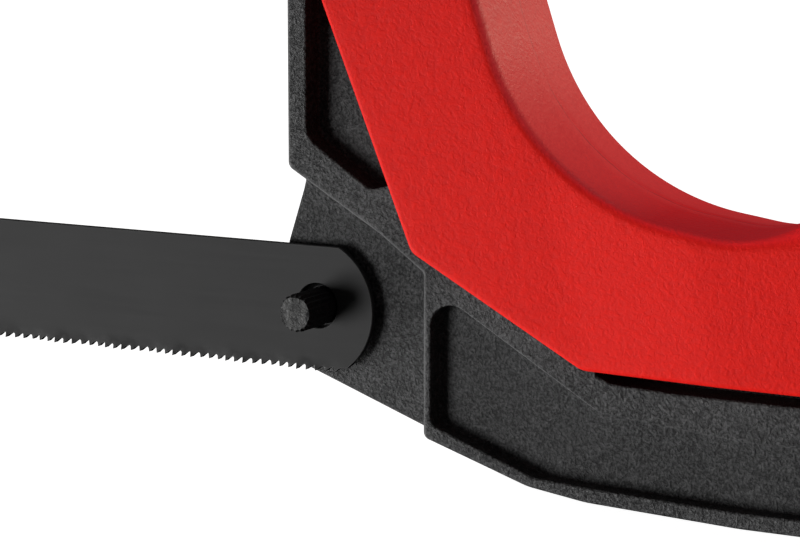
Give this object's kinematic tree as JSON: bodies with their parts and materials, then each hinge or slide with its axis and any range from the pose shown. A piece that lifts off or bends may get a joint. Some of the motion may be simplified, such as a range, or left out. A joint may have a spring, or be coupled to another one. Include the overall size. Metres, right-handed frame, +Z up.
{
  "type": "hacksaw",
  "caption": "Closed-handle hacksaw frame with a tube spine, soft grip, front tension knob and a fitted fine-tooth blade.",
  "frame": {"origin": "on the rear blade pin's axis, where the pin leaves the blade's outer face", "axes": "+X along the blade towards the handle, -Y the way the pins point (the blade's side), +Z up from the teeth towards the spine tube"},
  "size_m": [0.4523, 0.0236, 0.1459],
  "materials": {
    "black_casting": "satin",
    "red_grip": "matte",
    "tube_steel": "satin",
    "black_plastic": "satin",
    "red_plastic": "satin",
    "fastener_steel": "satin",
    "pin_steel": "satin",
    "carrier_steel": "satin",
    "bush_brass": "satin",
    "blade_steel": "satin"
  },
  "bodies": {
    "frame": {"handle_casting": "black_casting", "handle_grip": "red_grip", "frame_tube": "tube_steel", "tube_end_cap": "black_plastic", "frame_screws": "fastener_steel", "frame_nuts": "fastener_steel", "tube_spacers": "fastener_steel", "rear_blade_pin": "pin_steel", "rear_seat_washer": "pin_steel", "front_arm": "black_casting", "front_arm_pad": "red_grip", "carrier_bush": "bush_brass", "thrust_washer": "fastener_steel"},
    "carrier": {"blade_carrier": "carrier_steel", "front_blade_pin": "pin_steel", "front_seat_washer": "pin_steel", "carrier_stop_ring": "fastener_steel"},
    "knob": {"tension_knob": "black_plastic", "knob_nut": "bush_brass", "knob_cap": "red_plastic"},
    "blade": {"blade": "blade_steel"}
  },
  "joints": [
    {"name": "knob_turn", "type": "hinge", "parent": "frame", "child": "knob", "pos_m": [-0.333, 0.00342, 0], "axis": [-1, 0, 0], "range_deg": [0, 245]},
    {"name": "carrier_draw", "type": "slide", "parent": "frame", "child": "carrier", "axis": [1, 0, 0], "range_m": [0, 0.00068]},
    {"name": "blade_lift_off", "type": "slide", "parent": "frame", "child": "blade", "axis": [0, -1, 0], "range_m": [0, 0.012]}
  ],
  "couplings": [
    {"joint": "knob_turn", "follows": "carrier_draw", "rad_per_m": 6283.2}
  ]
}
